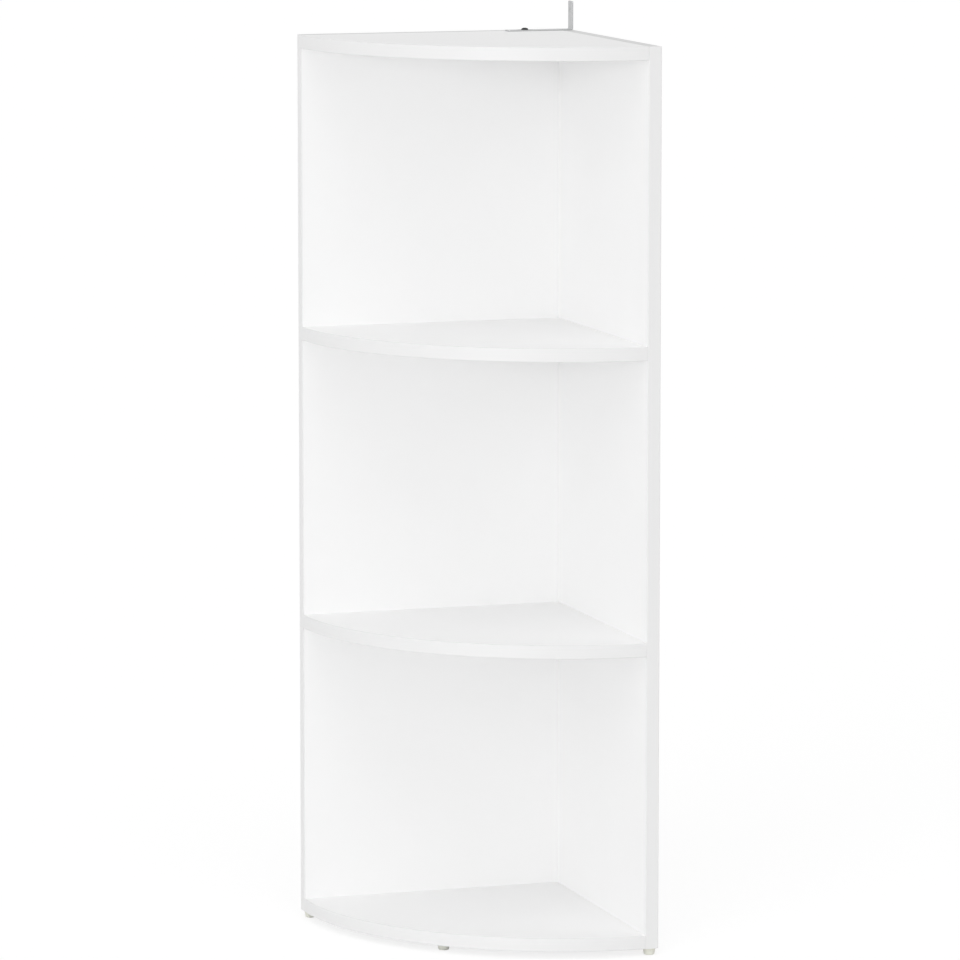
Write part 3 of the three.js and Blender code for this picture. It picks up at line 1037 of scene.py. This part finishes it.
@dataclass(frozen=True)
class BracketScrew:
    """Black pan-head screw that holds the bracket through its slot."""

    node: str = "wall_bracket_screw"
    head: float = 8.4 * MM
    rim: float = 0.5 * MM
    rim_chamfer: float = 0.2 * MM
    dome: float = 2 * MM
    dome_end: float = 87.0  # degrees of the quarter turn, which leaves a small flat
    dome_steps: int = 24
    recess: Cross = Cross(4.2 * MM, 1.0 * MM, 1.5 * MM, 0.55)
    thread: Thread = Thread(2.7 * MM, 4 * MM, 1.6 * MM, 60)
    length: float = 13.5 * MM
    tip: float = 3 * MM
    tip_share: float = 0.1  # of the root's diameter, left at the point
    tip_steps: int = 8
    pilot: float = 4.4 * MM
    pilot_depth: float = 12.2 * MM
    sides: int = 64

    def pilot_bore(self, top: float) -> Shell:
        """Cutter of its hole, down from the carcass's top."""
        return bore(middle_of(self.node, top), -UP, self.pilot, self.pilot_depth)

    def build(self) -> None:
        """Turns head and thread, with a quarter ellipse as the dome, and cuts the cross."""
        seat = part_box(self.node)[1].z - self.rim - self.dome
        root, head, end = self.thread.root / 2, self.head / 2, self.tip - self.length
        point = np.linspace([self.tip_share * root, -self.length], [root, end], self.tip_steps,
                            endpoint=False)
        turn = np.radians(np.linspace(0, self.dome_end, self.dome_steps))
        dome = np.stack([head * np.cos(turn), self.rim + self.dome * np.sin(turn)], axis=1)
        rim = [(root, 0.0), (head - self.rim_chamfer, 0.0), (head, self.rim_chamfer)]
        rod = self.thread.rod(point, (end, -self.thread.pitch / 2), np.concatenate([rim, dome]),
                              self.sides)
        recess = self.recess.cutter().placed(UP * (self.rim + self.dome))
        screw = cut(rod, recess).placed(middle_of(self.node, seat))
        dress(self.node, screw, BlackPhosphate())


@dataclass(frozen=True)
class CamFitting:
    """Cam housing in a board's underside and the bolt that it draws up.

    The cam's own frame has +Z up from the underside and -Y towards the bolt. The bolt's frame has
    +Z out through the panel, with zero at the panel's inner face.
    """

    carcass: Carcass
    cam: float = 14.6 * MM
    cam_sides: int = 64
    sink: float = 0.3 * MM
    roof: float = 0.9 * MM
    cavity: float = 10 * MM
    cavity_sides: int = 48
    sweep: float = 120.0  # degrees of the bolt's slot
    sweep_steps: int = 32
    lock: float = 25.0  # degrees from the locked bolt to the slot's end
    chamfer: float = 0.4 * MM
    slot_edge: float = 0.2 * MM
    recess: Cross = Cross(7 * MM, 1.5 * MM, 2.6 * MM, 0.6)
    mark: float = 2.4 * MM
    mark_inset: float = 0.6 * MM
    mark_depth: float = 0.4 * MM
    mark_edge: float = 0.05 * MM
    head: float = 6.5 * MM
    head_length: float = 2.4 * MM
    head_recess: Cross = Cross(4 * MM, 1 * MM, 1.6 * MM, 0.6)
    neck: float = 3.8 * MM
    shank: float = 7 * MM
    ease: float = 0.3 * MM
    thread: Thread = Thread(3.6 * MM, 5 * MM, 2.2 * MM, 80)
    thread_length: float = 11 * MM
    bolt_sides: int = 32

    def cam_body(self) -> Shell:
        """Cam: a drum less its cavity, the bolt's slot and entry, the cross and the arrow.

        The slot is a ring sector that ends a few degrees past the locked bolt.

        Returns:
            The cam in its own frame.
        """
        fit, axis = JOINERY.fit, self.carcass.board / 2
        radius, bowl, c = self.cam / 2, self.cavity / 2, self.chamfer
        room, neck_room = self.head / 2 + fit, self.neck / 2 + fit
        top = axis + room + self.roof
        drum = turned([radius - c, radius, radius, radius - c],
                      [self.sink, self.sink + c, top - c, top], self.cam_sides)
        cavity = turned([bowl, bowl], [axis - room, axis + room], self.cavity_sides)
        far = radius + OVERRUN
        end = -90 + self.lock
        entry = end - self.sweep
        ring = np.concatenate([arc(far, entry, end, self.sweep_steps),
                               arc(bowl / 2, end, entry, self.sweep_steps)])
        slot = plate(ring, axis - neck_room, axis + neck_room, self.slot_edge)
        way = np.append(arc(1.0, entry, entry, 0), 0.0)
        mouth = bore(UP * axis + way * OVERRUN, way, 2 * room, far)
        cross = self.recess.cutter().placed(UP * self.sink, UPSIDE_DOWN)
        arrow = self.mark * np.array([(0.0, 0.0), (0.5, 1.0), (-0.5, 1.0)])
        arrow = plate(arrow + [0.0, self.mark_inset - radius], 0.0, self.sink + self.mark_depth,
                      self.mark_edge)
        return cut(drum, cavity, slot, mouth, cross, arrow)

    def bolt_body(self) -> Shell:
        """Bolt: head, neck, shank and thread along one axis, and the driver's cross in the head.

        Returns:
            The bolt in its own frame.
        """
        fit, e = JOINERY.fit, self.ease
        wall = np.sqrt((self.cavity / 2 - fit) ** 2 - (self.head / 2) ** 2)
        shoulder = wall - JOINERY.setback
        back = shoulder - self.head_length
        shank_end = JOINERY.cam_bore / 2 + fit - JOINERY.setback
        head, neck, shank, root = (
            width / 2 for width in (self.head, self.neck, self.shank, self.thread.root))
        plain = np.array([
            (head - e, back), (head, back + e), (head, shoulder - e), (head - e, shoulder),
            (neck, shoulder), (neck, shank_end), (shank - e, shank_end), (shank, shank_end + e),
            (shank, -fit - e), (shank - e, -fit), (root, -fit)])
        rod = self.thread.rod(plain, (0.0, self.thread_length - e),
                              np.array([(root - e, self.thread_length)]), self.bolt_sides)
        return cut(rod, self.head_recess.cutter().placed(UP * back, UPSIDE_DOWN))

    def build(self) -> None:
        """Makes one cam and one bolt and sets a copy of each at every joint that they draw up."""
        cam, bolt = self.cam_body(), self.bolt_body()
        for joint in self.carcass.joints():
            if joint.where is not Station.DOWEL:
                out = joint.side.out
                housing = cam.placed(joint.cam, np.stack([np.cross(-out, UP), -out, UP]))
                dress(f"{joint.label}_cam", housing, DieCastZinc())
                placed = bolt.placed(joint.axis, axes_along(out))
                dress(f"{joint.label}_bolt", placed, PlatedBolt())


@dataclass(frozen=True)
class Dowels:
    """Beech dowels with pressed flutes and chamfered ends."""

    carcass: Carcass
    flutes: int = 24
    flute_depth: float = 0.25 * MM
    chamfer: float = 1 * MM
    sides: int = 144
    rows: int = 5

    def body(self) -> Shell:
        """Dowel along +Z with zero at the joint.

        The radius dips by half the flute's depth times one plus the cosine of the angle times the
        number of flutes, and both ends narrow over the chamfer.

        Returns:
            The dowel in its own frame.
        """
        low, high, c = -JOINERY.dowel_in_edge, JOINERY.dowel_in_face, self.chamfer
        angle = np.linspace(0, 2 * np.pi, self.sides, endpoint=False)
        wave = JOINERY.dowel / 2 - self.flute_depth * (1 + np.cos(self.flutes * angle)) / 2
        heights = np.concatenate([[low], np.linspace(low + c, high - c, self.rows), [high]])
        narrow = np.array([c, *[0.0] * self.rows, c])
        return turned(wave - narrow[:, None], heights, self.sides)

    def build(self) -> None:
        """Sets a dowel at each of its joints, in the boards and along the rear corner."""
        dowel = self.body()
        for joint in self.carcass.joints():
            if joint.where is Station.DOWEL:
                placed = dowel.placed(joint.axis, axes_along(joint.side.out))
                dress(joint.label, placed, Beech())
        for i, point in enumerate(self.carcass.corner_joints(), start=1):
            placed = dowel.placed(point, axes_along(Side.RIGHT.out))
            dress(f"corner_dowel_{i}", placed, Beech())


# Studio

WHITE = linear("#ffffff")


@dataclass(frozen=True)
class Camera:
    """Camera in front and to the left, seven metres away and turned down to the unit."""

    name: str = "photo_camera"
    place: tuple[float, float, float] = (-2.118, -6.569, 1.520)
    heading: float = 17.902  # degrees to the right of +Y
    tilt: float = 7.994  # degrees below the horizon
    lens: float = 220.6  # focal length in mm
    sensor: float = 36.0  # width in mm
    farthest: float = 200.0  # distance past which nothing shows

    def build(self) -> None:
        """Makes the camera and hands it to the scene."""
        data = bpy.data.cameras.new(self.name)
        data.lens = self.lens
        data.sensor_width = self.sensor
        data.clip_end = self.farthest
        camera = linked(self.name, data)
        camera.location = self.place
        camera.rotation_euler = np.radians([90 - self.tilt, 0.0, -self.heading])
        bpy.context.scene.camera = camera


@dataclass(frozen=True)
class SoftSun:
    """Broad lamp at a great distance, so that it lights floor and unit evenly."""

    name: str
    heading: float  # degrees from which it shines, from the camera's side round to the right
    height: float  # degrees above the horizon
    strength: float  # on a surface that faces it
    spread: float  # its width in degrees

    def build(self) -> None:
        """Makes the lamp, turned so that it shines along its heading."""
        data = bpy.data.lights.new(self.name, "SUN")
        data.energy = self.strength
        data.angle = np.radians(self.spread)
        lamp = linked(self.name, data)
        lamp.rotation_euler = np.radians([90 - self.height, 0.0, self.heading])


@dataclass(frozen=True)
class Studio:
    """White studio: a pale floor, an even sky and soft lamps."""

    sky: float = 0.63  # strength of the sky as a light
    lamps: tuple[SoftSun, ...] = (SoftSun("front_lamp", -45.0, 2.0, 0.99, 20.0),
                                  SoftSun("side_lamp", -45.0, 30.0, 0.28, 40.0),
                                  SoftSun("key_lamp", -15.0, 60.0, 0.54, 40.0))
    floor_size: float = 120.0
    floor_drop: float = 0.1 * MM  # below the feet, so that the faces don't coincide
    floor_colour: str = "#fafafa"  # of the floor as the unit's surroundings
    floor_glow: float = 0.75  # share of plain white where it is seen; the rest holds the shadow
    floor_white: float = 1.07  # strength of that white

    def seen(self, tree: bpy.types.NodeTree) -> bpy.types.Node:
        """Tells rays that show the surroundings from rays that light the unit.

        Args:
            tree: that takes the nodes.

        Returns:
            Node that gives one for the first and zero for the others.
        """
        path = add_node(tree, "LightPath").outputs
        rays = path["Is Camera Ray"]
        for kind in ("Is Glossy Ray", "Is Transmission Ray"):
            rays = add_node(tree, "Math", {0: rays, 1: path[kind]}, operation="MAXIMUM")
        return rays

    def build_sky(self) -> None:
        """Sky that shows plain white and lights at its own strength."""
        world = bpy.data.worlds.new("studio_sky")
        tree = empty_tree(world)
        light = add_node(tree, "Background", {"Color": WHITE, "Strength": self.sky})
        show = add_node(tree, "Background", {"Color": WHITE, "Strength": 1.0})
        mix = add_node(tree, "MixShader", {"Fac": self.seen(tree), 1: light, 2: show})
        add_node(tree, "OutputWorld", {"Surface": mix})
        bpy.context.scene.world = world

    def build_floor(self) -> None:
        """Pale floor that shows near white, keeps the shadow, and is clear from below."""
        corners = self.floor_size / 2 * np.array([(-1, -1, 0), (1, -1, 0), (1, 1, 0), (-1, 1, 0)])
        floor = mesh_of("floor", Shell(corners - UP * self.floor_drop, [[0, 1, 2, 3]]))
        material = bpy.data.materials.new("floor_white_paper")
        tree = empty_tree(material)
        share = add_node(tree, "Math", {0: self.seen(tree), 1: self.floor_glow},
                         operation="MULTIPLY")
        paper = add_node(tree, "BsdfDiffuse", {"Color": linear(self.floor_colour)})
        glow = add_node(tree, "Emission", {"Color": WHITE, "Strength": self.floor_white})
        top = add_node(tree, "MixShader", {"Fac": share, 1: paper, 2: glow})
        clear = add_node(tree, "BsdfTransparent")
        below = add_node(tree, "NewGeometry").outputs["Backfacing"]
        mix = add_node(tree, "MixShader", {"Fac": below, 1: top, 2: clear})
        add_node(tree, "OutputMaterial", {"Surface": mix})
        floor.data.materials.append(material)

    def build(self) -> None:
        """Makes sky, floor and lamps, and sets the plain view of colours."""
        self.build_sky()
        self.build_floor()
        for lamp in self.lamps:
            lamp.build()
        bpy.context.scene.view_settings.view_transform = "Standard"


def main() -> None:
    """Builds the studio, then the unit from the boards to the fittings."""
    logging.basicConfig(level=logging.INFO, format="%(name)s: %(message)s")
    Camera().build()
    Studio().build()
    carcass, screw = Carcass.from_frame(), BracketScrew()
    feet = {where: Foot(f"foot_{where}", carcass.corner[2])
            for where in ("left", "right", "rear", "middle")}
    pegs = {where: foot.peg_bore() for where, foot in feet.items()}
    corner_bores = [JOINERY.dowel_bore(point, Side.RIGHT.out) for point in carcass.corner_joints()]
    SidePanel(Side.LEFT, carcass, [pegs["left"], *corner_bores]).build()
    SidePanel(Side.RIGHT, carcass, [pegs["right"], pegs["rear"], *corner_bores]).build()
    own = {"bottom_board": [pegs["middle"]], "top_board": [screw.pilot_bore(carcass.top)]}
    bands = EdgeBands(carcass)
    for name in LEVELS:
        QuarterBoard(name, carcass, own.get(name, [])).build()
        bands.round_board(name)
    for side, edges in ((Side.LEFT, (Edge.FRONT, Edge.TOP)), (Side.RIGHT, tuple(Edge))):
        for edge in edges:
            bands.straight(side, edge)
    for foot in feet.values():
        foot.build()
    WallBracket().build()
    screw.build()
    CamFitting(carcass).build()
    Dowels(carcass).build()


if __name__ == "__main__":
    main()
